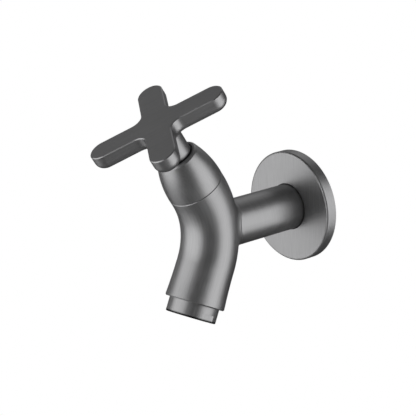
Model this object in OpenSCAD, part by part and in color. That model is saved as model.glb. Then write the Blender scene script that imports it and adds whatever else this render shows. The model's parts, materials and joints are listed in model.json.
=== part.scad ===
// Wall-mounted tap with a cross handle, a bent body, a fixed spout and an aerator.
// Millimetres. The origin lies on the inlet axis in the plane of the wall:
// -Y points away from the wall, +Z points up and +X points right, seen facing the wall.

/* [Body] */
// Distance from the wall to the point where the valve and spout axes meet
body_reach = 47.3; // [45:0.1:60]
// Height of that point above the inlet axis
body_rise = 1.7; // [0.5:0.1:2.5]
// Outside radius of the bent body and of the bonnet at its seam
body_r = 12.65; // [12.3:0.05:13.3]
// Radius of the bend, measured on its centreline
bend_r = 34.5; // [33:0.1:44]
// Lean of the valve axis away from the wall, in degrees from vertical
valve_lean = 31.2; // [29:0.1:38]
// Lean of the spout axis away from the wall, in degrees from vertical
spout_lean = 26.6; // [24:0.1:30]
// Straight length between the bend and the bonnet seam
valve_straight = 3.1; // [1.5:0.1:8]
// Straight length between the bend and the spout's end
spout_straight = 17.1; // [15:0.1:30]
// Outside radius of the spout's end
spout_r = 13.25; // [12.8:0.05:15]
// Small radius on the spout's end edge
spout_edge_r = 0.5; // [0.2:0.05:0.8]
// Height of the threaded spigot that the bonnet screws onto
spigot_h = 4; // [3:0.1:5]
// Wall thickness of that spigot
spigot_wall = 2; // [1.7:0.05:2.2]

/* [Inlet] */
// Outside radius of the inlet pipe
pipe_r = 10.3; // [10:0.01:10.3]
// Crest radius of the G1/2 inlet thread
thread_r = 10.48; // [10.3:0.01:10.6]
// Pitch of the inlet thread
thread_pitch = 1.814; // [1.4:0.001:2]
// Depth of the inlet thread
thread_depth = 1.16; // [0.6:0.01:1.3]
// Width of the flat on a thread crest
thread_crest = 0.34; // [0.2:0.01:0.5]
// Number of thread turns behind the wall plane
thread_turns = 6; // [4:1:8]
// Place of the thread's first root behind the wall plane; a negative value lies in front of it
thread_start = -0.6; // [-0.8:0.05:1.5]
// Chamfer on the inlet end
inlet_chamfer = 1.2; // [0.5:0.1:1.2]

/* [Waterways] */
// Radius of the inlet bore
inlet_bore_r = 6; // [4.5:0.1:6.5]
// Radius of the hole through the valve seat
seat_hole_r = 3.6; // [2.5:0.1:4]
// Depth of the valve seat below the bonnet seam
seat_depth = 13; // [12.9:0.05:13.4]
// Radius of the water chamber around the cartridge nose
chamber_r = 9; // [8.7:0.05:9.5]
// Height of the water chamber above the seat
chamber_h = 6; // [5:0.1:7]
// Half thickness of the slot that leads from the chamber to the spout
slot_r = 2.1; // [1.5:0.1:2.3]
// Half distance between the slot's two round sides
slot_half_w = 3; // [2:0.1:3.2]
// Wall left in front of that slot
slot_wall = 2; // [1.5:0.1:2.5]
// Distance by which the slot's ends stop short of the seat and of the top of the spout bore
slot_short = 2; // [1:0.1:2.5]
// Radius of the spout bore
spout_bore_r = 9; // [8:0.1:9.4]
// Distance along the spout axis from the meeting point to the top of the spout bore
spout_bore_top = 13; // [11:0.1:15]

/* [Bonnet] */
// Height of the bonnet above its seam
bonnet_h = 17.4; // [16.8:0.1:19]
// Radius of the bonnet's rounded side, in profile
bonnet_side_r = 43; // [34.5:0.5:60]
// Wall thickness of the bonnet
bonnet_wall = 1.3; // [1:0.05:1.5]
// Thickness of the bonnet's top
bonnet_roof = 1.4; // [1:0.1:1.6]
// Depth of the recess around the handle's neck
recess_depth = 1; // [0.9:0.1:2.4]
// Chamfer on both edges of the seam
seam_chamfer = 0.25; // [0.1:0.05:0.4]
// Chamfer on the bonnet's top edge
bonnet_edge = 0.45; // [0.1:0.05:0.6]
// Clearance between the handle's neck and the recess around it
recess_gap = 0.85; // [0.4:0.05:1]

/* [Cartridge] */
// Width of the cartridge's sealing gasket, from its thread to the edge of its round flange
gasket_w = 1.6; // [1.5:0.05:1.8]
// Length of the cartridge's threaded part
cartridge_thread = 8; // [6:0.1:8.5]
// Radius of the cartridge's nose
nose_r = 7; // [6.8:0.05:7.4]
// Radius of the bore that holds the discs
disc_bore_r = 6; // [5.8:0.05:6.2]
// Clearance between the cartridge's nose and the valve seat
nose_gap = 1; // [0.6:0.05:1.2]
// Thickness of the cartridge's sealing gasket
gasket_h = 0.8; // [0.5:0.1:1.2]
// Clearance between the cartridge's round flange and the bonnet around it
flange_clearance = 0.56; // [0.46:0.01:0.7]
// Thickness of that flange
cartridge_flange_h = 1.2; // [0.8:0.1:1.4]
// Clearance between the corners of the cartridge's hexagon and the bonnet around them
hex_clearance = 0.25; // [0.2:0.05:0.6]
// Height of the hexagon
hex_h = 4.6; // [4:0.1:4.8]
// Outside radius of the gland tube
gland_r = 5.4; // [5.1:0.05:5.5]

/* [Spindle and discs] */
// Radius of the spindle's stem
stem_r = 4; // [3.8:0.05:4.1]
// Thickness of the fixed ceramic disc
fixed_disc_h = 3; // [2.5:0.1:3.2]
// Thickness of the turning ceramic disc
turning_disc_h = 2.5; // [2:0.1:2.8]
// Thickness of the seat seal
seat_seal_h = 2.6; // [2:0.1:2.8]
// Height of the spindle's driving hub
hub_h = 2.5; // [2:0.1:2.8]
// Radius of the spindle's driving hub
hub_r = 4.7; // [4.4:0.05:4.8]
// Thickness of the thrust washer
thrust_h = 0.8; // [0.5:0.05:1]
// Width of the tongue that drives the turning disc
tongue_w = 3; // [2:0.1:3.4]
// Depth of that tongue
tongue_h = 1.2; // [0.8:0.1:1.4]
// Length of that tongue
tongue_l = 8.6; // [7:0.1:8.6]
// Angle of each of the cartridge's two windows, in degrees
window_angle = 76; // [66:1:80]
// Angle of each water port in the discs, in degrees
port_angle = 70; // [60:1:76]
// Inside radius of the water ports
port_r = 2; // [1.5:0.1:2.5]
// Rim left outside the fixed disc's ports
port_rim = 0.9; // [0.6:0.05:1.2]
// Angle that the handle turns, in degrees
turn_angle = 90; // [80:1:92]
// Angle of the stop lug on the hub, in degrees
lug_angle = 80; // [60:1:90]
// Angle of play between the stop lug and its stops, in degrees
stop_play = 2; // [1:0.5:4]
// Thickness of a spindle O-ring
o_ring_d = 1.3; // [1:0.05:1.5]
// Height of the lower spindle O-ring above the seam
o_ring_low = 4; // [3:0.1:5]
// Distance between the two spindle O-rings
o_ring_step = 4; // [3:0.1:5]
// Thickness of the circlip
circlip_h = 0.8; // [0.6:0.05:0.9]
// Depth of the circlip's groove in the stem
circlip_depth = 0.7; // [0.4:0.05:0.9]
// Outside radius of the circlip
circlip_r = 5.2; // [4.9:0.05:5.3]
// Number of teeth on the spindle's spline
spline_teeth = 20; // [12:1:24]
// Tip radius of the spline
spline_r = 3.9; // [3.7:0.05:4]
// Depth of the spline's teeth
spline_depth = 0.45; // [0.3:0.05:0.6]
// Angle across the tip of a spline tooth, in degrees
spline_tip_angle = 5.4; // [4:0.1:6]
// Angle across the foot of a spline tooth, in degrees
spline_foot_angle = 12.6; // [10:0.1:13]
// Depth of the grub screw's groove below the spline
grub_groove = 0.2; // [0.1:0.05:0.4]

/* [Handle] */
// Distance along the valve axis from the seam to the handle's flat top
handle_top = 35.9; // [33:0.1:38]
// Length of an arm from the centre to its tip
arm_length = 30.8; // [24:0.1:36]
// Width of an arm
arm_w = 11.6; // [9.5:0.1:12.5]
// Thickness of the arms
arm_h = 7.4; // [6:0.1:8]
// Radius of the corner between two arms
arm_corner_r = 5; // [4:0.1:6]
// Radius on the lower edges of the arms
arm_under_r = 3.6; // [1.5:0.1:3.7]
// Bevel on the upper edges of the arms
arm_bevel = 0.35; // [0.2:0.05:0.6]
// Turn of the closed handle about the valve axis, in degrees
handle_rest = 51.7; // [0:0.1:90]
// Outside radius of the handle's neck
neck_r = 6.85; // [6.4:0.05:7]
// Radius of the hollow curve by which the neck widens into the arms
neck_flare_r = 2.2; // [1.5:0.1:2.4]
// Radius of the bore in the neck
neck_bore_r = 5; // [4.9:0.05:5.2]
// Clearance under the neck
neck_gap = 0.4; // [0.1:0.05:0.4]
// Height of the glide washer under the neck
glide_h = 0.9; // [0.6:0.05:1]
// Depth of the neck's bore into the arms
bore_into_arms = 1.8; // [1:0.1:3]
// Radius of the grub screw in the neck
grub_r = 2; // [1.5:0.05:2.1]
// Width across the flats of the grub screw's socket
grub_flats = 2; // [1.5:0.1:2.2]
// Height of the grub screw above the neck's lower end
grub_height = 5; // [4:0.1:5.5]

/* [Wall flange] */
// Outside radius of the flange
flange_r = 25.15; // [22:0.05:35]
// Thickness of the flange
flange_h = 5.3; // [4.4:0.1:6]
// Wall thickness of the flange
flange_wall = 1.2; // [0.8:0.05:1.5]
// Radius on the flange's front edge
flange_edge_r = 1; // [0.5:0.05:1.1]
// Clearance between the pipe and the flange's hole
flange_hole_gap = 0.37; // [0.3:0.01:0.6]
// Thickness of the flange's O-ring
flange_ring_d = 1.9; // [1.6:0.05:2.1]
// Wall around the flange's O-ring
collar_wall = 1.2; // [0.8:0.05:2]
// Width of the foam ring behind the flange
foam_w = 3; // [2:0.1:5]

/* [Aerator] */
// Radius of the aerator's collar
aerator_r = 11.12; // [11.06:0.01:11.5]
// Height of the collar below the spout's end
aerator_h = 6.4; // [5.2:0.1:8]
// Radius on the collar's lower edge
aerator_edge_r = 0.5; // [0.2:0.05:0.8]
// Radius of the M22 aerator thread
aerator_thread_r = 11; // [10.6:0.05:11]
// Length of the aerator thread
aerator_thread_h = 7; // [6:0.1:9]
// Distance across the two spanner flats
aerator_flats = 21.4; // [20.6:0.1:21.8]
// Height of the spanner flats
flats_h = 3.2; // [2.5:0.1:4.2]
// Inside radius of the aerator's housing
housing_bore_r = 9.3; // [9.1:0.05:9.6]
// Thickness of the aerator's washer
washer_h = 1.8; // [1.2:0.1:2.2]
// Wall thickness of the plastic insert
insert_wall = 1; // [0.8:0.05:1.2]
// Height of the lip that holds the insert
lip_h = 1.2; // [0.8:0.1:1.4]
// Thickness of the perforated discs
sieve_h = 0.8; // [0.6:0.05:1]
// Radius of a hole in the perforated discs
sieve_hole_r = 0.45; // [0.3:0.05:0.5]
// Distance between those holes
sieve_step = 1.6; // [1.4:0.05:2]
// Thickness of the jet plate
jet_plate_h = 1.2; // [1:0.1:1.6]
// Distance from the top of the insert down to the jet plate
jet_drop = 2.4; // [1.6:0.1:3]
// Radius of the circle on which the jets lie
jet_circle_r = 5.3; // [4:0.1:5.6]
// Number of water jets
jet_count = 12; // [8:1:16]
// Radius of a water jet
jet_r = 0.6; // [0.4:0.05:0.8]

/* [Hidden] */
$fn = 96;

// Clearances: a plugged fit, a turning fit, a loose fit and a screwed fit
fit_gap = 0.05;
run_gap = 0.05;
seal_gap = 0.1;
thread_gap = 0.05;

// Cuts run past the faces that they open
cut = 1;
// A leg is this much thinner than the bend that it enters, so that the two cross cleanly
blend = 0.02;

// The bend, as seen from the side
bend_angle = valve_lean + spout_lean;
bend_tangent = bend_r * tan(bend_angle / 2);
bend_apex = bend_r / cos(bend_angle / 2) - bend_r;
seam_height = bend_tangent + valve_straight;
spout_length = bend_tangent + spout_straight;
leg_r = body_r - blend;

// Heights along the valve axis, from the seam
seat_z = -seat_depth;
nose_z = seat_z + nose_gap;
fixed_disc_z = seat_z + seat_seal_h;
turning_disc_z = fixed_disc_z + fixed_disc_h;
hub_z = turning_disc_z + turning_disc_h;
thrust_z = hub_z + hub_h;
shoulder_z = thrust_z + thrust_h;
gasket_z = spigot_h;
cartridge_flange_z = gasket_z + gasket_h;
hex_z = cartridge_flange_z + cartridge_flange_h;
recess_z = bonnet_h - recess_depth;
neck_z = recess_z + glide_h + neck_gap;
circlip_z = neck_z - neck_gap - circlip_h;
gland_top = circlip_z - seal_gap;
spline_z = circlip_z + circlip_h + seal_gap;
arm_z = handle_top - arm_h;
neck_bore_top = arm_z + bore_into_arms;
grub_z = neck_z + grub_height;

// Radius of the bonnet's side at a height, drawn in by a wall
function bonnet_radius(z, wall) = body_r - bonnet_side_r + sqrt((bonnet_side_r - wall) ^ 2 - z ^ 2);

// Radii that follow from a seat
gland_hole_r = gland_r + 2 * seal_gap;
recess_r = neck_r + recess_gap;
stem_bore_r = stem_r + run_gap;
groove_floor_r = stem_r - o_ring_d;
circlip_groove_r = stem_r - circlip_depth;
grub_floor_r = spline_r - spline_depth - grub_groove;
flange_hole_r = pipe_r + flange_hole_gap;
flange_groove_r = pipe_r + flange_ring_d + 2 * fit_gap;
insert_r = housing_bore_r - seal_gap;
sieve_r = insert_r - insert_wall - fit_gap;
cartridge_flange_r = bonnet_radius(hex_z, bonnet_wall) - flange_clearance;
cartridge_r = cartridge_flange_r - gasket_w;
spigot_r = cartridge_r + spigot_wall;
hex_r = bonnet_radius(hex_z + hex_h, bonnet_wall) - hex_clearance;

// The inlet axis: the child's +Z points into the wall
module on_inlet(y) {
    translate([0, y, 0]) rotate([-90, 0, 0]) children();
}

// The valve axis: the child's +Z points out at the handle, from the seam
module on_valve(z = 0) {
    translate([0, -body_reach, body_rise]) rotate([valve_lean, 0, 0])
        translate([0, 0, seam_height + z]) children();
}

// The spout axis: the child's +Z points out at the aerator, from the spout's end
module on_spout(z = 0) {
    translate([0, -body_reach, body_rise]) rotate([180 - spout_lean, 0, 0])
        translate([0, 0, spout_length + z]) children();
}

// A ring that stands on z = 0
module ring(r_in, r_out, h) {
    rotate_extrude() translate([r_in, 0]) square([r_out - r_in, h]);
}

// A part of a ring, centred on the angle at
module ring_part(r_in, r_out, h, at, angle) {
    rotate([0, 0, at - angle / 2]) rotate_extrude(angle = angle)
        translate([r_in, 0]) square([r_out - r_in, h]);
}

// An O-ring around z = 0 that seats on the radius r_in
module o_ring(r_in, d) {
    rotate_extrude() translate([r_in + d / 2, 0]) circle(d = d);
}

// The bent part of the body, between its two legs
module bend() {
    translate([0, -body_reach, body_rise]) rotate([valve_lean, 0, 0])
        translate([0, -bend_r, bend_tangent]) rotate([-90, 0, 0]) rotate([0, -90, 0])
        rotate_extrude(angle = bend_angle) translate([bend_r, 0]) circle(r = body_r);
}

// The profile of a leg, from inside the bend at z = 0 to its far end
module leg(length, r_far, edge) {
    lead = 2.5;
    polygon([
        [0, -lead], [leg_r - lead, -lead], [leg_r, 0], [r_far, 0],
        [r_far, length - edge], [r_far - edge, length], [0, length]
    ]);
}

module valve_leg() {
    on_valve(bend_tangent - seam_height) rotate_extrude()
        leg(valve_straight, leg_r, seam_chamfer);
}

// The spout widens along a long arc that leaves the bend without a kink
module spout_leg() {
    widening = spout_r - leg_r;
    arc_r = (spout_straight ^ 2 + widening ^ 2) / (2 * widening);
    on_spout(bend_tangent - spout_length) rotate_extrude() difference() {
        leg(spout_straight, spout_r, spout_edge_r);
        translate([leg_r + arc_r, 0]) circle(r = arc_r, $fn = 720);
    }
}

// Parallel rings stand for the thread's turns, with true crests and flanks
module inlet_thread() {
    end = thread_start + thread_turns * thread_pitch;
    flank = (thread_pitch - 2 * thread_crest) / 2;
    rotate_extrude() polygon([
        [0, thread_start - cut],
        [thread_r - thread_depth, thread_start - cut],
        for (i = [0:thread_turns - 1]) each [
            [thread_r - thread_depth, thread_start + i * thread_pitch],
            [thread_r, thread_start + i * thread_pitch + flank],
            [thread_r, thread_start + i * thread_pitch + flank + thread_crest],
            [thread_r - thread_depth, thread_start + (i + 1) * thread_pitch - thread_crest]
        ],
        [thread_r - inlet_chamfer, end],
        [0, end]
    ]);
}

module inlet_pipe() {
    on_inlet(-body_reach) cylinder(r = pipe_r, h = body_reach + thread_start);
    on_inlet(0) inlet_thread();
}

// The slot passes in front of the inlet bore, parallel to the bend
module transfer_slot() {
    side = body_r - slot_wall - slot_r;
    up = seam_height - seat_depth - slot_short;
    down = spout_bore_top - slot_short;
    translate([0, -body_reach, body_rise]) rotate([valve_lean - bend_angle / 2, 0, 0])
        translate([0, -bend_apex - side, -down]) linear_extrude(up + down) {
            square([2 * slot_half_w, 2 * slot_r], center = true);
            for (x = [-slot_half_w, slot_half_w]) translate([x, 0]) circle(r = slot_r);
        }
}

module tap_body() {
    inlet_end = thread_start + thread_turns * thread_pitch;
    color([0.43, 0.43, 0.44]) difference() {
        union() {
            bend();
            valve_leg();
            spout_leg();
            inlet_pipe();
            on_valve(-cut) cylinder(r = spigot_r, h = spigot_h + cut);
        }
        on_inlet(-body_reach - inlet_bore_r / 2)
            cylinder(r = inlet_bore_r, h = body_reach + inlet_bore_r / 2 + inlet_end + cut);
        on_valve(-seam_height) cylinder(r = seat_hole_r, h = seam_height - seat_depth + cut);
        on_valve(seat_z) cylinder(r = chamber_r, h = chamber_h);
        on_valve(seat_z) cylinder(r = cartridge_r, h = seat_depth + spigot_h + cut);
        transfer_slot();
        on_spout(spout_bore_top - spout_length)
            cylinder(r = spout_bore_r, h = spout_length - spout_bore_top);
        on_spout(-aerator_thread_h - washer_h)
            cylinder(r = aerator_thread_r, h = aerator_thread_h + washer_h + cut);
    }
}

// The side of the bonnet, drawn in by a wall
module bonnet_side(wall) {
    intersection() {
        translate([body_r - bonnet_side_r, 0]) circle(r = bonnet_side_r - wall);
        square([body_r, bonnet_h - wall]);
    }
}

module bonnet() {
    thread_bore_r = spigot_r + thread_gap;
    top_r = bonnet_radius(bonnet_h, 0);
    color([0.45, 0.45, 0.46]) on_valve() rotate_extrude() difference() {
        bonnet_side(0);
        intersection() {
            bonnet_side(bonnet_wall);
            square([body_r, recess_z - bonnet_roof]);
        }
        square([thread_bore_r, spigot_h]);
        square([gland_hole_r, bonnet_h + cut]);
        translate([0, recess_z]) square([recess_r, recess_depth + cut]);
        polygon([[body_r - seam_chamfer, 0], [body_r + cut, -cut], [body_r + cut, seam_chamfer + cut]]);
        translate([top_r - bonnet_edge, bonnet_h]) rotate(-45) square([cut, cut]);
    }
}

module glide_washer() {
    color([0.08, 0.08, 0.09]) on_valve(recess_z) ring(gland_hole_r, recess_r - fit_gap, glide_h);
}

module cartridge_gasket() {
    color([0.15, 0.1, 0.08]) on_valve(gasket_z)
        ring(cartridge_r + fit_gap, cartridge_flange_r, gasket_h);
}

module cartridge_body() {
    stop_angle = 360 - lug_angle - turn_angle - stop_play;
    color([0.8, 0.65, 0.35]) on_valve() difference() {
        union() {
            translate([0, 0, nose_z]) cylinder(r = nose_r, h = -nose_z);
            translate([0, 0, spigot_h - cartridge_thread])
                cylinder(r = cartridge_r - fit_gap, h = cartridge_thread + gasket_h);
            translate([0, 0, cartridge_flange_z])
                cylinder(r = cartridge_flange_r, h = cartridge_flange_h);
            translate([0, 0, hex_z]) cylinder(r = hex_r, h = hex_h, $fn = 6);
            translate([0, 0, hex_z]) cylinder(r = gland_r, h = gland_top - hex_z);
        }
        difference() {
            translate([0, 0, nose_z - cut])
                cylinder(r = disc_bore_r, h = shoulder_z - nose_z + cut);
            translate([0, 0, hub_z + seal_gap]) ring_part(hub_r + 2 * seal_gap, disc_bore_r + cut,
                hub_h - seal_gap, handle_rest + 180 + turn_angle / 2, stop_angle);
        }
        translate([0, 0, shoulder_z - cut]) cylinder(r = stem_bore_r, h = gland_top - shoulder_z + 2 * cut);
        for (side = [0, 180]) {
            translate([0, 0, turning_disc_z]) ring_part(disc_bore_r - cut, nose_r + cut,
                turning_disc_h - seal_gap, side, window_angle);
            rotate([0, 0, side + 90]) translate([0, -tongue_w / 2, nose_z - cut])
                cube([nose_r + cut, tongue_w, fixed_disc_z + fixed_disc_h - nose_z + cut]);
        }
    }
}

// A ceramic disc's two water ports, centred on the angle at
module ports(h, r_out, at) {
    for (side = [0, 180])
        translate([0, 0, -cut]) ring_part(port_r, r_out, h + 2 * cut, at + side, port_angle);
}

module fixed_disc() {
    ear_w = tongue_w - 2 * seal_gap;
    color([0.93, 0.92, 0.88]) on_valve(fixed_disc_z) difference() {
        union() {
            cylinder(r = disc_bore_r - fit_gap, h = fixed_disc_h);
            translate([-ear_w / 2, -nose_r + seal_gap, 0])
                cube([ear_w, 2 * (nose_r - seal_gap), fixed_disc_h]);
        }
        ports(fixed_disc_h, disc_bore_r - fit_gap - port_rim, 0);
    }
}

module turning_disc() {
    slot_w = tongue_w + 2 * seal_gap;
    color([0.2, 0.2, 0.22]) on_valve(turning_disc_z) rotate([0, 0, handle_rest]) difference() {
        cylinder(r = disc_bore_r - 2 * seal_gap, h = turning_disc_h);
        ports(turning_disc_h, disc_bore_r + cut, 90 - handle_rest);
        translate([-disc_bore_r, -slot_w / 2, turning_disc_h - tongue_h - seal_gap])
            cube([2 * disc_bore_r, slot_w, tongue_h + cut]);
    }
}

module seat_seal() {
    color([0.07, 0.07, 0.07]) on_valve(seat_z)
        ring(seat_hole_r, disc_bore_r - fit_gap, seat_seal_h);
}

module thrust_washer() {
    color([0.9, 0.88, 0.8]) on_valve(thrust_z) ring(stem_bore_r, hub_r, thrust_h);
}

// Points of the spline's outline, with straight-sided teeth, grown by a clearance
function spline_points(gap) = [
    for (i = [0:spline_teeth - 1], k = [0:3])
        let (side = k < 2 ? -1 : 1, at_tip = k == 1 || k == 2,
            r = spline_r + gap - (at_tip ? 0 : spline_depth),
            half = (at_tip ? spline_tip_angle : spline_foot_angle) / 2 + asin(gap / r),
            a = i * 360 / spline_teeth + side * half)
            [r * cos(a), r * sin(a)]
];

module spindle() {
    spline_top = neck_bore_top - 4 * seal_gap;
    color([0.85, 0.7, 0.4]) on_valve() rotate([0, 0, handle_rest]) difference() {
        union() {
            translate([0, 0, hub_z]) cylinder(r = hub_r, h = hub_h);
            translate([0, 0, hub_z]) ring_part(0, disc_bore_r - 2 * seal_gap, hub_h, 0, lug_angle);
            translate([-tongue_l / 2, -tongue_w / 2, hub_z - tongue_h])
                cube([tongue_l, tongue_w, tongue_h + hub_h / 2]);
            translate([0, 0, thrust_z - cut]) cylinder(r = stem_r, h = spline_z - thrust_z + cut);
            translate([0, 0, spline_z - cut]) linear_extrude(spline_top - spline_z + cut)
                polygon(spline_points(0));
        }
        for (z = [o_ring_low, o_ring_low + o_ring_step])
            translate([0, 0, z - o_ring_d / 2 - seal_gap])
                ring(groove_floor_r - fit_gap, stem_r + cut, o_ring_d + 2 * seal_gap);
        translate([0, 0, circlip_z - fit_gap])
            ring(circlip_groove_r, stem_r + cut, circlip_h + 2 * fit_gap);
        translate([0, 0, grub_z - grub_r - seal_gap])
            ring(grub_floor_r, stem_r + cut, 2 * (grub_r + seal_gap));
    }
}

module spindle_circlip() {
    color([0.6, 0.6, 0.62]) on_valve(circlip_z) rotate([0, 0, handle_rest])
        ring_part(circlip_groove_r + fit_gap, circlip_r, circlip_h, 0, 300);
}

module spindle_o_ring(z) {
    color([0.07, 0.07, 0.07]) on_valve(z) o_ring(groove_floor_r, o_ring_d);
}

module spindle_o_ring_lower() {
    spindle_o_ring(o_ring_low);
}

module spindle_o_ring_upper() {
    spindle_o_ring(o_ring_low + o_ring_step);
}

// Half of an arm's cross-section, as wide as reach
module arm_side(reach) {
    intersection() {
        square([reach, arm_h]);
        union() {
            translate([0, arm_under_r]) square([reach, arm_h]);
            square([reach - arm_under_r, arm_h]);
            translate([reach - arm_under_r, arm_under_r]) circle(r = arm_under_r);
        }
        polygon([[0, 0], [reach, 0], [reach, arm_h - arm_bevel], [reach - arm_bevel, arm_h], [0, arm_h]]);
    }
}

// One straight bar of the cross, with round ends
module cross_bar() {
    tip = arm_length - arm_w / 2;
    rotate([90, 0, 90]) translate([0, 0, -tip]) linear_extrude(2 * tip) {
        arm_side(arm_w / 2);
        mirror([1, 0]) arm_side(arm_w / 2);
    }
    for (side = [-tip, tip]) translate([side, 0, 0]) rotate_extrude() arm_side(arm_w / 2);
}

// The web in the corner between two arms, hollowed by the corner radius
module corner_web() {
    far = arm_w / 2 + arm_corner_r;
    difference() {
        cube([far, far, arm_h]);
        translate([far, far, 0]) rotate_extrude() difference() {
            translate([0, -cut]) square([far, arm_h + 2 * cut]);
            translate([arm_corner_r + arm_w / 2, 0]) mirror([1, 0]) arm_side(arm_w / 2);
            translate([arm_corner_r + arm_w / 2, 0]) square([far, arm_h]);
        }
    }
}

module cross_handle() {
    neck_flare_sink = 1;
    color([0.33, 0.33, 0.33]) on_valve() rotate([0, 0, handle_rest]) difference() {
        union() {
            translate([0, 0, arm_z]) {
                cross_bar();
                rotate([0, 0, 90]) cross_bar();
                for (corner = [0, 90, 180, 270]) rotate([0, 0, corner]) corner_web();
            }
            translate([0, 0, neck_z]) cylinder(r = neck_r, h = arm_z + arm_h / 2 - neck_z);
            translate([0, 0, arm_z + neck_flare_sink - neck_flare_r]) rotate_extrude() difference() {
                square([neck_r + neck_flare_r, neck_flare_r]);
                translate([neck_r + neck_flare_r, 0]) circle(r = neck_flare_r);
            }
        }
        translate([0, 0, neck_z - cut]) cylinder(r = neck_bore_r, h = neck_bore_top - neck_z + cut);
        rotate([0, 0, 45]) translate([0, 0, grub_z]) rotate([0, 90, 0])
            cylinder(r = grub_r, h = neck_r + cut);
    }
}

module spline_bush() {
    bush_z = neck_z + 2 * seal_gap;
    bush_h = neck_bore_top - seal_gap - bush_z;
    color([0.9, 0.9, 0.88]) on_valve() rotate([0, 0, handle_rest]) difference() {
        translate([0, 0, bush_z]) cylinder(r = neck_bore_r - fit_gap, h = bush_h);
        translate([0, 0, bush_z - cut]) linear_extrude(bush_h + 2 * cut)
            polygon(spline_points(fit_gap));
        rotate([0, 0, 45]) translate([0, 0, grub_z]) rotate([0, 90, 0])
            cylinder(r = grub_r + fit_gap, h = neck_r + cut);
    }
}

module grub_screw() {
    out = neck_r - 2 * seal_gap;
    in = grub_floor_r + seal_gap;
    socket = (out - in) / 2;
    color([0.3, 0.3, 0.32]) on_valve(grub_z) rotate([0, 0, handle_rest + 45]) rotate([0, 90, 0])
        translate([0, 0, in]) difference() {
            cylinder(r = grub_r - fit_gap, h = out - in);
            translate([0, 0, out - in - socket])
                cylinder(r = grub_flats / 2 / cos(30), h = socket + cut, $fn = 6);
        }
}

module wall_flange() {
    collar_r = flange_groove_r + collar_wall;
    groove_z = (flange_h - flange_wall - flange_ring_d) / 2 - seal_gap;
    color([0.47, 0.47, 0.48]) on_inlet(-flange_h) rotate_extrude() difference() {
        union() {
            translate([0, flange_edge_r]) square([flange_r, flange_h - flange_edge_r]);
            square([flange_r - flange_edge_r, flange_h]);
            translate([flange_r - flange_edge_r, flange_edge_r]) circle(r = flange_edge_r);
        }
        translate([collar_r, flange_wall])
            square([flange_r - flange_wall - collar_r, flange_h]);
        translate([0, -cut]) square([flange_hole_r, flange_h + 2 * cut]);
        translate([0, flange_wall + groove_z])
            square([flange_groove_r, flange_ring_d + 2 * seal_gap]);
    }
}

module flange_o_ring() {
    color([0.07, 0.07, 0.07]) on_inlet((flange_wall - flange_h) / 2)
        o_ring(pipe_r + fit_gap, flange_ring_d);
}

module foam_ring() {
    r_out = flange_r - flange_wall - seal_gap;
    color([0.2, 0.2, 0.2]) on_inlet(flange_wall - flange_h)
        ring(r_out - foam_w, r_out, flange_h - flange_wall);
}

module aerator_housing() {
    color([0.4, 0.4, 0.41]) on_spout() difference() {
        union() {
            rotate_extrude() {
                square([aerator_r, aerator_h - aerator_edge_r]);
                square([aerator_r - aerator_edge_r, aerator_h]);
                translate([aerator_r - aerator_edge_r, aerator_h - aerator_edge_r])
                    circle(r = aerator_edge_r);
            }
            translate([0, 0, -aerator_thread_h])
                cylinder(r = aerator_thread_r - thread_gap, h = aerator_thread_h + cut);
        }
        translate([0, 0, -aerator_thread_h - cut])
            cylinder(r = housing_bore_r, h = aerator_thread_h + aerator_h - lip_h + cut);
        translate([0, 0, -cut]) cylinder(r = sieve_r, h = aerator_h + 2 * cut);
        for (side = [0, 180]) rotate([0, 0, side])
            translate([aerator_flats / 2, -aerator_r, aerator_h - flats_h])
                cube([aerator_r, 2 * aerator_r, flats_h + cut]);
    }
}

module aerator_washer() {
    color([0.07, 0.07, 0.07]) on_spout(-aerator_thread_h - washer_h)
        ring(insert_r - insert_wall + seal_gap, aerator_thread_r - 2 * seal_gap, washer_h);
}

// A round disc with holes in a hexagonal pattern
module sieve(r, h, hole_r, step) {
    rows = floor(r / step);
    linear_extrude(h) difference() {
        circle(r = r);
        for (i = [-rows:rows], j = [-rows:rows]) {
            x = (i + j / 2) * step;
            y = j * step * sin(60);
            if (norm([x, y]) < r - step / 2 - hole_r) translate([x, y]) circle(r = hole_r);
        }
    }
}

module aerator_screen() {
    color([0.7, 0.7, 0.72]) on_spout(-aerator_thread_h)
        sieve(insert_r - insert_wall - fit_gap, sieve_h, sieve_hole_r, sieve_step);
}

module aerator_insert() {
    ledge = insert_r - 2 * insert_wall;
    top = -aerator_thread_h;
    bottom = aerator_h - lip_h;
    jet_z = top + jet_drop;
    color([0.85, 0.85, 0.86]) on_spout() rotate_extrude() difference() {
        translate([0, top]) square([insert_r, bottom - top]);
        translate([0, top - cut]) square([insert_r - insert_wall, sieve_h + cut]);
        translate([0, top]) square([ledge, jet_z - top + cut]);
        translate([0, jet_z - jet_plate_h]) square([ledge, bottom]);
        translate([0, bottom - sieve_h]) square([insert_r - insert_wall, sieve_h + cut]);
    }
}

module aerator_jet_plate() {
    ledge = insert_r - 2 * insert_wall - fit_gap;
    color([0.6, 0.75, 0.8]) on_spout(-aerator_thread_h + jet_drop) difference() {
        cylinder(r = ledge, h = jet_plate_h);
        for (i = [0:jet_count - 1]) rotate([0, 0, i * 360 / jet_count])
            translate([jet_circle_r, 0, -cut]) cylinder(r = jet_r, h = jet_plate_h + 2 * cut);
    }
}

module aerator_mesh() {
    color([0.72, 0.72, 0.74]) on_spout(aerator_h - lip_h - sieve_h)
        sieve(insert_r - insert_wall - fit_gap, sieve_h, sieve_hole_r, sieve_step);
}

tap_body();
bonnet();
glide_washer();
cartridge_body();
cartridge_gasket();
spindle();
spindle_circlip();
spindle_o_ring_lower();
spindle_o_ring_upper();
thrust_washer();
turning_disc();
fixed_disc();
seat_seal();
cross_handle();
spline_bush();
grub_screw();
wall_flange();
flange_o_ring();
foam_ring();
aerator_housing();
aerator_washer();
aerator_screen();
aerator_jet_plate();
aerator_insert();
aerator_mesh();
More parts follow.
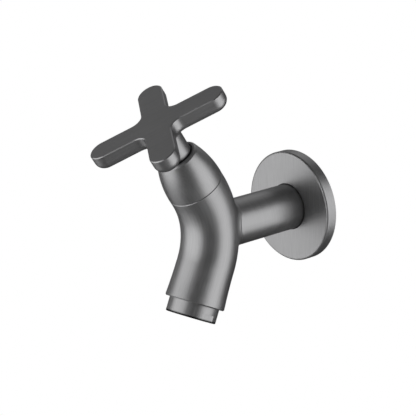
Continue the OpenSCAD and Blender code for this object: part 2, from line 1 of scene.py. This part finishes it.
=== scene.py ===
"""Looks for a wall-mounted tap: brushed gunmetal metal, its hidden cartridge and the stage around it."""

import json
import math

import bmesh
import bpy
from bpy.props import FloatProperty, FloatVectorProperty, PointerProperty
from mathutils import Matrix, Vector


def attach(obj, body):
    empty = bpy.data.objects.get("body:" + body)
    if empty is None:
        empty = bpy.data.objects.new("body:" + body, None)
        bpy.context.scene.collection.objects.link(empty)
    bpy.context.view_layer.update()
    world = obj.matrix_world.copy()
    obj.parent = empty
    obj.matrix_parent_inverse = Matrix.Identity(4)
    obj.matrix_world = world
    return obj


bl_info = {
    "name": "Wall Tap Dressing",
    "version": (1, 0, 0),
    "blender": (4, 5, 0),
    "location": "View3D > Sidebar > Wall Tap",
    "description": "Finishes the pieces of a wall-mounted tap and sets its stage",
    "category": "Object",
}

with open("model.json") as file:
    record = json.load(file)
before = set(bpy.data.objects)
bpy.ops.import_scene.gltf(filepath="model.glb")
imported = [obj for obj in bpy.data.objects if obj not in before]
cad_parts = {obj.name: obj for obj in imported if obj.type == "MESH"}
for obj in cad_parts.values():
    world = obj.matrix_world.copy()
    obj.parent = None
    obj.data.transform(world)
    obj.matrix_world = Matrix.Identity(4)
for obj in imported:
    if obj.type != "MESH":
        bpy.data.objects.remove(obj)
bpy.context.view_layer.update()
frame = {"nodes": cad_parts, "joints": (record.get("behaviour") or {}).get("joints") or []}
HINGE = next(joint for joint in frame["joints"] if joint["name"] == "handle_turn")
MEETING_POINT = Vector(HINGE["pos_m"])
VALVE_AXIS = Vector(HINGE["axis"])
VALVE_LEAN = math.atan2(-VALVE_AXIS.y, VALVE_AXIS.z)
ACROSS = Vector((1, 0, 0))


# Sizes and colours

# Noise seldom leaves this range
NOISE_LOW = 0.3
NOISE_HIGH = 0.7

# The fillet's sections round the pipe, the steps of its curve, and how deep it runs under both surfaces
FILLET_SECTIONS = 96
FILLET_STEPS = 8
FILLET_SINK = 0.0004

# The panels' distance from the tap, and the place of the tap's middle in front of the wall
PANEL_DISTANCE = 1.2
PANEL_MIDDLE_Y = -0.05

# Half the floor's side, and its grey for the rays that don't see it as white
FLOOR_HALF = 8.0
FLOOR_SHADE = 0.3


def colour_setting(name, description, default):
    return FloatVectorProperty(
        name=name, description=description, default=default, subtype="COLOR", size=3, min=0, max=1,
    )


class TapShapeSettings(bpy.types.PropertyGroup):
    """Sizes that the dressing shares with the construction."""

    spout_lean: FloatProperty(
        name="Spout Lean", description="Lean of the spout away from the wall",
        default=math.radians(26.6), subtype="ANGLE",
    )
    bend_radius: FloatProperty(
        name="Bend Radius", description="Radius of the body's bend on its centreline",
        default=0.0345, unit="LENGTH",
    )
    body_radius: FloatProperty(
        name="Body Radius", description="Outside radius of the bent body", default=0.01265, unit="LENGTH",
    )
    pipe_radius: FloatProperty(
        name="Pipe Radius", description="Outside radius of the inlet pipe", default=0.0103, unit="LENGTH",
    )
    handle_rest: FloatProperty(
        name="Handle Rest", description="Turn of the closed handle about the valve axis",
        default=math.radians(51.7), subtype="ANGLE",
    )
    fillet_reach: FloatProperty(
        name="Fillet Reach", description="How far the fillet runs out along the pipe and the body",
        default=0.0021, unit="LENGTH",
    )


class TapFinishSettings(bpy.types.PropertyGroup):
    """Colour and grain of the brushed metal."""

    gunmetal: colour_setting("Gunmetal", "Colour of the brushed gunmetal coating", (0.42, 0.42, 0.425))
    gunmetal_roughness: FloatProperty(
        name="Gunmetal Roughness", description="Roughness of the brushed coating",
        default=0.4, min=0, max=1,
    )
    edge_shade: FloatProperty(
        name="Edge Shade", description="How much light the coating returns at a grazing angle",
        default=0.4, min=0, max=1,
    )
    grain_width: FloatProperty(
        name="Grain Width", description="Width of one brushed line", default=0.00014, unit="LENGTH",
    )
    grain_length: FloatProperty(
        name="Grain Length", description="Length of one brushed line", default=0.008, unit="LENGTH",
    )
    grain_depth: FloatProperty(
        name="Grain Depth", description="Depth of the brushed lines", default=0.0000012, unit="LENGTH",
    )
    grain_contrast: FloatProperty(
        name="Grain Contrast", description="How far the brushing lightens and darkens the metal",
        default=0.12, min=0, max=1,
    )
    flange_contrast: FloatProperty(
        name="Flange Contrast", description="The same for the wall flange, whose brushing shows more",
        default=0.16, min=0, max=1,
    )
    streak_share: FloatProperty(
        name="Streak Share", description="Share of streaks against clouds in the metal's changes of shade",
        default=0.7, min=0, max=1,
    )
    cloud_scale: FloatProperty(
        name="Cloud Scale", description="Number of clouds in one metre", default=90.0, min=0,
    )
    roughness_swing: FloatProperty(
        name="Roughness Swing", description="How far streaks and clouds change the roughness",
        default=0.06, min=0, max=1,
    )
    # Painted shade: a dark band round the outlet's rim, standing in for the dark reflection on its rounded
    # edge
    rim_shade_colour: colour_setting("Rim Shade Colour", "Colour of the band of painted shade round the outlet", (0.03, 0.03, 0.03))
    rim_shade_width: FloatProperty(
        name="Rim Shade Width", description="Width of the band of painted shade round the outlet",
        default=0.0011, unit="LENGTH",
    )


class TapInsideSettings(bpy.types.PropertyGroup):
    """Colours of the pieces inside the tap and of its small trim."""

    glide_plastic: colour_setting("Glide Plastic", "Colour of the glide washer", (0.02, 0.02, 0.022))
    nylon: colour_setting("Nylon", "Colour of the handle's bush", (0.72, 0.7, 0.64))
    oiled_steel: colour_setting("Oiled Steel", "Colour of the grub screw", (0.12, 0.12, 0.125))
    foam: colour_setting("Foam", "Colour of the ring behind the flange", (0.03, 0.03, 0.032))
    brass: colour_setting("Brass", "Colour of the cartridge's body", (0.72, 0.5, 0.2))
    spindle_brass: colour_setting("Spindle Brass", "Colour of the spindle", (0.76, 0.56, 0.26))
    spring_steel: colour_setting("Spring Steel", "Colour of the spindle's clip", (0.45, 0.45, 0.47))
    white_ceramic: colour_setting("White Ceramic", "Colour of the fixed disc", (0.84, 0.82, 0.76))
    dark_ceramic: colour_setting("Dark Ceramic", "Colour of the turning disc", (0.05, 0.05, 0.055))
    washer_plastic: colour_setting("Washer Plastic", "Colour of the thrust washer", (0.75, 0.72, 0.6))
    fibre: colour_setting("Fibre", "Colour of the cartridge's gasket", (0.035, 0.02, 0.014))
    rubber: colour_setting("Rubber", "Colour of the seals", (0.014, 0.014, 0.015))
    stainless: colour_setting("Stainless", "Colour of the aerator's screens", (0.55, 0.55, 0.57))
    insert_plastic: colour_setting("Insert Plastic", "Colour of the aerator's insert", (0.66, 0.66, 0.68))
    jet_plastic: colour_setting("Jet Plastic", "Colour of the aerator's jet plate", (0.32, 0.5, 0.58))


class TapStageSettings(bpy.types.PropertyGroup):
    """Camera, floor and lamps."""

    azimuth: FloatProperty(
        name="Azimuth", description="Direction of the camera round the tap, from straight ahead",
        default=math.radians(50.11), subtype="ANGLE",
    )
    elevation: FloatProperty(
        name="Elevation", description="Height of the camera above the horizon",
        default=math.radians(14.23), subtype="ANGLE",
    )
    roll: FloatProperty(
        name="Roll", description="Turn of the camera about its own line of sight",
        default=math.radians(-3.83), subtype="ANGLE",
    )
    distance: FloatProperty(
        name="Distance", description="Distance from the camera to the point it aims at",
        default=0.6335, unit="LENGTH",
    )
    aim: FloatVectorProperty(
        name="Aim", description="Point at the centre of the picture",
        default=(-0.02366, -0.03256, 0.00156), subtype="XYZ", size=3,
    )
    lens: FloatProperty(name="Lens", description="Focal length in millimetres", default=121.15)
    floor_depth: FloatProperty(
        name="Floor Depth", description="Distance from the inlet axis down to the floor",
        default=1.9, unit="LENGTH",
    )
    room_light: FloatProperty(
        name="Room Light", description="Strength of the light from all round", default=0.025, min=0,
    )
    mirrored_background: FloatProperty(
        name="Mirrored Background", description="Share of the white surroundings that the metal mirrors",
        default=0.065, min=0, max=1,
    )
    front_panel: FloatProperty(
        name="Front Panel", description="Brightness of the panel in front of the wall", default=1.17, min=0,
    )
    side_panel: FloatProperty(
        name="Side Panel", description="Brightness of the panel beside the tap", default=1.17, min=0,
    )
    back_panel: FloatProperty(
        name="Back Panel", description="Brightness of the panel on the far side, behind the wall's plane",
        default=0.27, min=0,
    )
    rim_panel: FloatProperty(
        name="Rim Panel", description="Brightness of the high panel behind the tap", default=0.35, min=0,
    )
    low_panel: FloatProperty(
        name="Low Panel", description="Brightness of the panel low down beside the tap", default=0.2, min=0,
    )
    low_front_panel: FloatProperty(
        name="Low Front Panel", description="Brightness of the panel low down in front of the wall",
        default=0.4, min=0,
    )


# Building node trees


def fill(socket, value):
    """Links an input to another node's socket, or gives it a constant value."""
    if isinstance(value, bpy.types.NodeSocket):
        socket.id_data.links.new(value, socket)
    else:
        socket.default_value = value


def add(tree, kind, *values, **settings):
    """Adds a shader node; each value fills the next input."""
    made = tree.nodes.new(kind)
    for name, value in settings.items():
        setattr(made, name, value)
    for socket, value in zip(made.inputs, values):
        fill(socket, value)
    return made


def set_inputs(made, **values):
    """Fills named inputs of a node; spaces in a name are written as underscores."""
    for name, value in values.items():
        fill(made.inputs[name.replace("_", " ")], value)
    return made


def calc(tree, operation, *values):
    return add(tree, "ShaderNodeMath", *values, operation=operation).outputs[0]


def times(tree, a, b):
    return calc(tree, "MULTIPLY", a, b)


def object_place(tree):
    return add(tree, "ShaderNodeTexCoord").outputs["Object"]


def place_from(tree, origin):
    """The place on the piece, measured from an origin in the row's frame."""
    made = add(tree, "ShaderNodeVectorMath", object_place(tree), origin, operation="SUBTRACT")
    return made.outputs["Vector"]


def stretched(tree, place, scale):
    return add(tree, "ShaderNodeVectorMath", place, scale, operation="MULTIPLY").outputs["Vector"]


def reach_along(tree, place, axis):
    return add(tree, "ShaderNodeVectorMath", place, axis, operation="DOT_PRODUCT").outputs["Value"]


def combined(tree, x, y, z):
    return add(tree, "ShaderNodeCombineXYZ", x, y, z).outputs[0]


def spread(tree, value, low, high):
    """Moves a 0 to 1 value to the range from low to high."""
    return add(tree, "ShaderNodeMapRange", value, 0.0, 1.0, low, high).outputs[0]


def narrowed(tree, value, low, high):
    """Moves the range from low to high to the range from 0 to 1."""
    return add(tree, "ShaderNodeMapRange", value, low, high, 0.0, 1.0).outputs[0]


def blend(tree, kind, factor, a, b):
    """Goes from a to b, which are two colours or two vectors."""
    mix = add(tree, "ShaderNodeMix", data_type=kind)
    return set_inputs(mix, Factor=factor, A=a, B=b).outputs["Result"]


def noise(tree, place, scale=1.0, detail=2.0):
    """Noise whose values fill the range from 0 to 1."""
    made = set_inputs(add(tree, "ShaderNodeTexNoise"), Vector=place, Scale=scale, Detail=detail)
    return narrowed(tree, made.outputs[0], NOISE_LOW, NOISE_HIGH)


def bumped(tree, height, depth, strength):
    """The surface's normal over bumps whose depth is in metres."""
    bump = add(tree, "ShaderNodeBump")
    return set_inputs(bump, Strength=strength, Distance=depth, Height=height).outputs[0]


def opaque(colour):
    return (*colour, 1)


def grey(level):
    return opaque((level, level, level))


def tinted(tree, colour, factor, light, dark):
    """A colour that varies between a darker and a lighter copy of itself."""
    low, high = [opaque([min(channel * share, 1) for channel in colour]) for share in (dark, light)]
    return blend(tree, "RGBA", factor, low, high)


def empty_tree(owner):
    """The node tree of a new material or world, emptied."""
    owner.use_nodes = True
    owner.node_tree.nodes.clear()
    return owner.node_tree


def new_material(name):
    material = bpy.data.materials.new(name)
    tree = empty_tree(material)
    shader = add(tree, "ShaderNodeBsdfPrincipled")
    add(tree, "ShaderNodeOutputMaterial", shader.outputs[0])
    return material, tree, shader


# Where the brush ran


def turned_place(tree, origin, across, along):
    """Coordinates in the frame (across, third side, along) whose origin is a point of the tap."""
    local = place_from(tree, origin)
    side = along.cross(across)
    return combined(tree, *[reach_along(tree, local, axis) for axis in (across, side, along)])


def along_valve(tree):
    return turned_place(tree, MEETING_POINT, ACROSS, VALVE_AXIS)


def along_arm(tree):
    """Along one pair of the closed handle's arms."""
    turn = Matrix.Rotation(bpy.context.scene.tap_shape.handle_rest, 3, VALVE_AXIS)
    return turned_place(tree, MEETING_POINT, VALVE_AXIS, turn @ ACROSS)


def along_wall(tree):
    """Straight up and down, as the flange's face is brushed."""
    return object_place(tree)


def round_pipe(tree):
    """Round the inlet pipe: out from its axis, along it, and the way round it."""
    x, y, z = add(tree, "ShaderNodeSeparateXYZ", object_place(tree)).outputs
    out = calc(tree, "SQRT", calc(tree, "ADD", times(tree, x, x), times(tree, z, z)))
    way_round = times(tree, calc(tree, "ARCTAN2", x, z), bpy.context.scene.tap_shape.pipe_radius)
    return combined(tree, out, y, way_round)


def bend_of(shape):
    """Half the turn of the body's bend, the direction from its middle to its centre, and that centre."""
    half = (VALVE_LEAN + shape.spout_lean) / 2
    outward = Vector((0, -math.cos(VALVE_LEAN - half), -math.sin(VALVE_LEAN - half)))
    return half, outward, MEETING_POINT + outward * (shape.bend_radius / math.cos(half))


def along_bend(tree):
    """Across the bent body, out from the centre of its bend, and along it; round the pipe behind it."""
    shape = bpy.context.scene.tap_shape
    half, outward, centre = bend_of(shape)
    back = -outward
    up = Vector((0, -back.z, back.y))
    local = place_from(tree, centre)
    side, towards_wall, upwards = [reach_along(tree, local, axis) for axis in (ACROSS, back, up)]
    angle = calc(tree, "ARCTAN2", upwards, towards_wall)
    turn = add(tree, "ShaderNodeClamp", angle, -half, half).outputs[0]
    cosine = calc(tree, "COSINE", turn)
    sine = calc(tree, "SINE", turn)
    out = calc(tree, "ADD", times(tree, towards_wall, cosine), times(tree, upwards, sine))
    past_turn = calc(tree, "SUBTRACT", times(tree, upwards, cosine), times(tree, towards_wall, sine))
    run = calc(tree, "MULTIPLY_ADD", turn, shape.bend_radius, past_turn)
    from_centreline = calc(tree, "SUBTRACT", out, shape.bend_radius)
    squares = [times(tree, value, value) for value in (side, from_centreline)]
    edge = shape.body_radius + shape.fillet_reach / 2
    outside_body = calc(tree, "GREATER_THAN", calc(tree, "ADD", *squares), edge ** 2)
    on_pipe = times(tree, outside_body, calc(tree, "GREATER_THAN", from_centreline, 0.0))
    return blend(tree, "VECTOR", on_pipe, combined(tree, side, out, run), round_pipe(tree))


# Finishes


def brushed_metal(name, colour, roughness, place_of, contrast):
    """Satin metal with fine lines, streaks twice their size and faint clouds."""
    finish = bpy.context.scene.tap_finish
    share = finish.streak_share
    swing = finish.roughness_swing
    material, tree, shader = new_material(name)
    place = place_of(tree)
    fine = (1 / finish.grain_width, 1 / finish.grain_width, 1 / finish.grain_length)
    lines = noise(tree, stretched(tree, place, fine), detail=1.0)
    streaks = noise(tree, stretched(tree, place, tuple(count / 2 for count in fine)))
    clouds = noise(tree, place, scale=finish.cloud_scale)
    mixed = calc(tree, "MULTIPLY_ADD", streaks, share, times(tree, clouds, 1 - share))
    set_inputs(
        shader, Base_Color=tinted(tree, colour, mixed, light=1 + contrast, dark=1 - contrast), Metallic=1.0,
        Specular_Tint=grey(finish.edge_shade),
        Roughness=spread(tree, mixed, low=roughness - swing, high=roughness + swing),
        Normal=bumped(tree, lines, finish.grain_depth, strength=1.0),
    )
    return material


def gunmetal(name, place_of, contrast):
    """The brushed coating of the pieces that show."""
    finish = bpy.context.scene.tap_finish
    return brushed_metal(name, finish.gunmetal, finish.gunmetal_roughness, place_of, contrast)


def painted_rim_shade(node, material, outward):
    """Paints shade on the rim at the end of the spout: a dark band that stands in for the dark reflection
    on the rim's rounded edge.
    """
    finish = bpy.context.scene.tap_finish
    tree = material.node_tree
    shader = next(made for made in tree.nodes if made.type == "BSDF_PRINCIPLED")
    unshaded = shader.inputs["Base Color"].links[0].from_socket
    end = max(outward.dot(vertex.co) for vertex in frame["nodes"][node].data.vertices)
    depth = calc(tree, "SUBTRACT", end, reach_along(tree, object_place(tree), outward))
    inwards = narrowed(tree, depth, finish.rim_shade_width / 2, finish.rim_shade_width)
    # Painted shade: the band goes from the shade colour at the lip to the coating's own colour further in
    set_inputs(shader, Base_Color=blend(tree, "RGBA", inwards, opaque(finish.rim_shade_colour), unshaded))


def lathe_metal(name, colour, roughness):
    """Turned metal with fine rings round the valve's axis."""
    material, tree, shader = new_material(name)
    ring_scale = (60.0, 60.0, 6000.0)
    rings = noise(tree, stretched(tree, along_valve(tree), ring_scale), detail=3.0)
    clouds = noise(tree, object_place(tree), scale=250.0)
    set_inputs(
        shader, Base_Color=tinted(tree, colour, clouds, light=1.1, dark=0.82), Metallic=1.0,
        Roughness=spread(tree, rings, low=roughness - 0.08, high=roughness + 0.1),
        Normal=bumped(tree, rings, depth=0.000004, strength=0.6),
    )
    return material


def moulded(name, colour, roughness, grain, depth, contrast=0.12):
    """Plastic, rubber or ceramic with a fine grain and a slight change of shade."""
    material, tree, shader = new_material(name)
    place = object_place(tree)
    pores = noise(tree, place, scale=1 / grain, detail=4.0)
    clouds = noise(tree, place, scale=140.0)
    set_inputs(
        shader, Base_Color=tinted(tree, colour, clouds, light=1 + contrast, dark=1 - contrast),
        Roughness=spread(tree, pores, low=roughness - 0.08, high=roughness + 0.08),
        Normal=bumped(tree, pores, depth, strength=0.5),
    )
    return material


def foam_material(name, colour, cell):
    """Closed-cell foam: small round hollows, with painted shade that makes them darker than the walls
    between them.
    """
    material, tree, shader = new_material(name)
    cells = set_inputs(add(tree, "ShaderNodeTexVoronoi"), Vector=object_place(tree), Scale=1 / cell)
    height = cells.outputs["Distance"]
    # Painted shade: the colour darkens towards the bottom of each hollow
    set_inputs(
        shader, Base_Color=tinted(tree, colour, height, light=1.5, dark=0.7), Roughness=0.9,
        Normal=bumped(tree, height, depth=cell / 4, strength=0.8),
    )
    return material


def dress(node, material):
    """Gives a carried-over solid its finish."""
    slots = frame["nodes"][node].material_slots
    if not slots:
        frame["nodes"][node].data.materials.append(material)
    for slot in slots:
        slot.material = material


# Pieces


def mesh_piece(name, points, faces, material, body):
    """A smooth piece in the row's frame that rides on a body."""
    mesh = bpy.data.meshes.new(name)
    mesh.from_pydata(points, [], faces)
    mesh.update()
    built = bmesh.new()
    built.from_mesh(mesh)
    bmesh.ops.recalc_face_normals(built, faces=built.faces)
    built.to_mesh(mesh)
    built.free()
    mesh.shade_smooth()
    mesh.materials.append(material)
    piece = bpy.data.objects.new(name, mesh)
    bpy.context.scene.collection.objects.link(piece)
    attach(piece, body)


def back_of_body(shape, spot):
    """The point on the bent body's side towards the wall that has the x and z of a spot."""
    centre = bend_of(shape)[2]
    reach = shape.bend_radius + math.sqrt(max(shape.body_radius ** 2 - spot.x ** 2, 0))
    return Vector((spot.x, centre.y + math.sqrt(reach ** 2 - (spot.z - centre.z) ** 2), spot.z))


def fillet_section(shape, angle):
    """The fillet's curve from the pipe to the body, then its way back under both surfaces."""
    spoke = Vector((math.cos(angle), 0, math.sin(angle)))
    corner = back_of_body(shape, spoke * shape.pipe_radius)
    on_pipe = corner + Vector((0, shape.fillet_reach, 0))
    on_body = back_of_body(shape, spoke * (shape.pipe_radius + shape.fillet_reach))
    points = []
    for step in range(FILLET_STEPS + 1):
        t = step / FILLET_STEPS
        points.append((1 - t) ** 2 * on_pipe + 2 * t * (1 - t) * corner + t ** 2 * on_body)
    into_pipe = spoke * FILLET_SINK
    into_body = Vector((0, FILLET_SINK, 0))
    return points + [on_body - into_body, corner - into_pipe - into_body, on_pipe - into_pipe]


class TAP_OT_body(bpy.types.Operator):
    """Finish the bent body and round the corner where the inlet pipe meets it"""

    bl_idname = "tap.body"
    bl_label = "Body"

    def execute(self, context):
        material = gunmetal("brushed gunmetal body", along_bend, context.scene.tap_finish.grain_contrast)
        dress("tap_body", material)
        self.add_fillet(context.scene.tap_shape, material)
        return {"FINISHED"}

    def add_fillet(self, shape, material):
        """A concave ring between the pipe and the back of the body, thickened into a closed solid."""
        angles = [2 * math.pi * i / FILLET_SECTIONS for i in range(FILLET_SECTIONS)]
        sections = [fillet_section(shape, angle) for angle in angles]
        points = [point for section in sections for point in section]
        row = len(sections[0])
        faces = []
        for start in range(0, len(points), row):
            after = (start + row) % len(points)
            for spot in range(row):
                follows = (spot + 1) % row
                faces.append((start + spot, start + follows, after + follows, after + spot))
        mesh_piece("body_fillet", points, faces, material, "tap")


class TAP_OT_bonnet(bpy.types.Operator):
    """Finish the bonnet and the glide washer in its recess"""

    bl_idname = "tap.bonnet"
    bl_label = "Bonnet"

    def execute(self, context):
        inside = context.scene.tap_inside
        contrast = context.scene.tap_finish.grain_contrast
        dress("bonnet", gunmetal("brushed gunmetal bonnet", along_valve, contrast))
        dress("glide_washer", moulded(
            "glide washer plastic", inside.glide_plastic, roughness=0.5, grain=0.0002, depth=0.00001,
        ))
        return {"FINISHED"}


class TAP_OT_handle(bpy.types.Operator):
    """Finish the cross handle, its bush and its grub screw"""

    bl_idname = "tap.handle"
    bl_label = "Cross Handle"

    def execute(self, context):
        inside = context.scene.tap_inside
        contrast = context.scene.tap_finish.grain_contrast
        dress("cross_handle", gunmetal("satin gunmetal handle", along_arm, contrast))
        dress("spline_bush", moulded(
            "natural nylon", inside.nylon, roughness=0.45, grain=0.0003, depth=0.00001,
        ))
        dress("grub_screw", lathe_metal("oiled steel", inside.oiled_steel, roughness=0.4))
        return {"FINISHED"}


class TAP_OT_flange(bpy.types.Operator):
    """Finish the wall flange and the foam behind it"""

    bl_idname = "tap.flange"
    bl_label = "Wall Flange"

    def execute(self, context):
        contrast = context.scene.tap_finish.flange_contrast
        dress("wall_flange", gunmetal("brushed gunmetal flange", along_wall, contrast))
        dress("foam_ring", foam_material("dark foam", context.scene.tap_inside.foam, cell=0.0006))
        return {"FINISHED"}


class TAP_OT_cartridge(bpy.types.Operator):
    """Finish the hidden valve, and every rubber seal of the tap"""

    bl_idname = "tap.cartridge"
    bl_label = "Cartridge"

    def execute(self, context):
        inside = context.scene.tap_inside
        dress("cartridge_body", lathe_metal("turned brass", inside.brass, roughness=0.28))
        dress("spindle", lathe_metal("spindle brass", inside.spindle_brass, roughness=0.24))
        dress("spindle_circlip", lathe_metal("spring steel", inside.spring_steel, roughness=0.3))
        dress("fixed_disc", moulded(
            "white ceramic", inside.white_ceramic,
            roughness=0.18, grain=0.00015, depth=0.000002, contrast=0.04,
        ))
        dress("turning_disc", moulded(
            "dark ceramic", inside.dark_ceramic,
            roughness=0.15, grain=0.00015, depth=0.000002, contrast=0.08,
        ))
        dress("thrust_washer", moulded(
            "washer plastic", inside.washer_plastic,
            roughness=0.4, grain=0.0002, depth=0.000008, contrast=0.06,
        ))
        dress("cartridge_gasket", moulded(
            "fibre gasket", inside.fibre, roughness=0.8, grain=0.0004, depth=0.00003, contrast=0.3,
        ))
        rubber = moulded(
            "black rubber", inside.rubber, roughness=0.62, grain=0.00025, depth=0.00001, contrast=0.2,
        )
        seals = (
            "seat_seal", "spindle_o_ring_lower", "spindle_o_ring_upper", "flange_o_ring", "aerator_washer",
        )
        for node in seals:
            dress(node, rubber)
        return {"FINISHED"}


class TAP_OT_aerator(bpy.types.Operator):
    """Finish the aerator's housing, insert and screens"""

    bl_idname = "tap.aerator"
    bl_label = "Aerator"

    def execute(self, context):
        inside = context.scene.tap_inside
        contrast = context.scene.tap_finish.grain_contrast
        lean = context.scene.tap_shape.spout_lean
        coating = gunmetal("brushed gunmetal aerator", along_bend, contrast)
        # Painted shade on the outlet's rim
        painted_rim_shade("aerator_housing", coating, outward=Vector((0, -math.sin(lean), -math.cos(lean))))
        dress("aerator_housing", coating)
        steel = brushed_metal(
            "stainless screen", inside.stainless, roughness=0.3, place_of=along_wall, contrast=contrast,
        )
        for node in ("aerator_screen", "aerator_mesh"):
            dress(node, steel)
        dress("aerator_insert", moulded(
            "aerator plastic", inside.insert_plastic, roughness=0.4, grain=0.0003, depth=0.00001,
        ))
        dress("aerator_jet_plate", moulded(
            "jet plate plastic", inside.jet_plastic, roughness=0.35, grain=0.0003, depth=0.00001,
        ))
        return {"FINISHED"}


# Stage


def direction(azimuth, elevation):
    """From the tap towards an azimuth and elevation; azimuth 0 is straight in front of the wall."""
    level = math.cos(elevation)
    return Vector((math.sin(azimuth) * level, -math.cos(azimuth) * level, math.sin(elevation)))


def panel(name, brightness, azimuth, width, low, high):
    """An upright soft panel round the tap; brightness is its radiance as a mirror would show it."""
    lamp = bpy.data.lights.new(name, "AREA")
    lamp.shape = "RECTANGLE"
    lamp.size = width
    lamp.size_y = high - low
    lamp.energy = brightness * math.pi * width * (high - low)
    made = bpy.data.objects.new(name, lamp)
    bpy.context.scene.collection.objects.link(made)
    outward = direction(math.radians(azimuth), 0)
    made.matrix_world = outward.to_track_quat("Z", "Y").to_matrix().to_4x4()
    made.location = outward * PANEL_DISTANCE + Vector((0, PANEL_MIDDLE_Y, (low + high) / 2))
    made.visible_camera = False


def show_by_ray(tree, mirrored, lit, white, output):
    """Shows white to the camera, a share of it in metal and glass, and the lit shader to other rays."""
    path = add(tree, "ShaderNodeLightPath").outputs
    mirror = calc(tree, "MAXIMUM", path["Is Glossy Ray"], path["Is Transmission Ray"])
    seen = calc(tree, "MAXIMUM", path["Is Camera Ray"], times(tree, mirror, mirrored))
    mix = add(tree, "ShaderNodeMixShader", seen, lit.outputs[0], white.outputs[0])
    add(tree, output, mix.outputs[0])


class TAP_OT_stage(bpy.types.Operator):
    """Set the camera, the pale floor, the soft panels and the white surroundings"""

    bl_idname = "tap.stage"
    bl_label = "Stage"

    def execute(self, context):
        stage = context.scene.tap_stage
        self.set_camera(context, stage)
        self.set_floor(context, stage)
        self.set_world(context, stage)
        panel("front panel", stage.front_panel, azimuth=-21, width=1.9, low=-0.8, high=0.9)
        panel("side panel", stage.side_panel, azimuth=117, width=1.34, low=-0.95, high=0.8)
        panel("back panel", stage.back_panel, azimuth=-118, width=1.87, low=-0.5, high=1.3)
        panel("rim panel", stage.rim_panel, azimuth=-156, width=0.9, low=0.3, high=1.7)
        panel("low panel", stage.low_panel, azimuth=92, width=2.6, low=-1.8, high=-1.0)
        panel("low front panel", stage.low_front_panel, azimuth=-45, width=2.0, low=-1.8, high=-0.8)
        context.scene.view_settings.view_transform = "Standard"
        return {"FINISHED"}

    def set_camera(self, context, stage):
        back = direction(stage.azimuth, stage.elevation)
        level = Vector((math.cos(stage.azimuth), math.sin(stage.azimuth), 0))
        rise = back.cross(level)
        right = level * math.cos(stage.roll) + rise * math.sin(stage.roll)
        up = rise * math.cos(stage.roll) - level * math.sin(stage.roll)
        camera = bpy.data.objects.new("camera", bpy.data.cameras.new("camera"))
        context.scene.collection.objects.link(camera)
        camera.matrix_world = Matrix((right, up, back)).transposed().to_4x4()
        camera.location = Vector(stage.aim) + back * stage.distance
        camera.data.lens = stage.lens
        camera.data.clip_start = 0.01
        camera.data.clip_end = 20
        context.scene.camera = camera

    def set_floor(self, context, stage):
        """A wide floor that is plain white to the camera and throws back some of the lamps' light."""
        sides = ((-1, -1), (1, -1), (1, 1), (-1, 1))
        corners = [(x * FLOOR_HALF, y * FLOOR_HALF, -stage.floor_depth) for x, y in sides]
        mesh = bpy.data.meshes.new("floor")
        mesh.from_pydata(corners, [], [(0, 1, 2, 3)])
        floor = bpy.data.objects.new("floor", mesh)
        context.scene.collection.objects.link(floor)
        material = bpy.data.materials.new("pale floor")
        tree = empty_tree(material)
        matt = add(tree, "ShaderNodeBsdfDiffuse", grey(FLOOR_SHADE))
        white = add(tree, "ShaderNodeEmission", grey(1), 1.0)
        show_by_ray(tree, stage.mirrored_background, matt, white, "ShaderNodeOutputMaterial")
        mesh.materials.append(material)

    def set_world(self, context, stage):
        """White surroundings, and an even, dim light from all round."""
        world = bpy.data.worlds.new("room")
        tree = empty_tree(world)
        room = add(tree, "ShaderNodeBackground", grey(1), stage.room_light)
        white = add(tree, "ShaderNodeBackground", grey(1), 1.0)
        show_by_ray(tree, stage.mirrored_background, room, white, "ShaderNodeOutputWorld")
        context.scene.world = world


# Add-on

SETTINGS = {
    "tap_shape": TapShapeSettings,
    "tap_finish": TapFinishSettings,
    "tap_inside": TapInsideSettings,
    "tap_stage": TapStageSettings,
}
PIECES = (TAP_OT_body, TAP_OT_bonnet, TAP_OT_handle, TAP_OT_flange, TAP_OT_cartridge, TAP_OT_aerator)


class TAP_PT_sidebar(bpy.types.Panel):
    """Lists the steps that dress the tap"""

    bl_label = "Wall Tap"
    bl_idname = "TAP_PT_sidebar"
    bl_space_type = "VIEW_3D"
    bl_region_type = "UI"
    bl_category = "Wall Tap"

    def draw(self, context):
        for settings in SETTINGS:
            group = getattr(context.scene, settings)
            box = self.layout.box()
            for name in group.bl_rna.properties.keys():
                if name not in ("rna_type", "name"):
                    box.prop(group, name)
        for operator in (*PIECES, TAP_OT_stage):
            self.layout.operator(operator.bl_idname)


CLASSES = (*SETTINGS.values(), *PIECES, TAP_OT_stage, TAP_PT_sidebar)


def register():
    for made in CLASSES:
        bpy.utils.register_class(made)
    for name, group in SETTINGS.items():
        setattr(bpy.types.Scene, name, PointerProperty(type=group))


def unregister():
    for name in SETTINGS:
        delattr(bpy.types.Scene, name)
    for made in reversed(CLASSES):
        bpy.utils.unregister_class(made)


def main():
    register()
    bpy.ops.tap.stage()
    bpy.ops.tap.body()
    bpy.ops.tap.bonnet()
    bpy.ops.tap.handle()
    bpy.ops.tap.flange()
    bpy.ops.tap.cartridge()
    bpy.ops.tap.aerator()


if __name__ == "__main__":
    main()
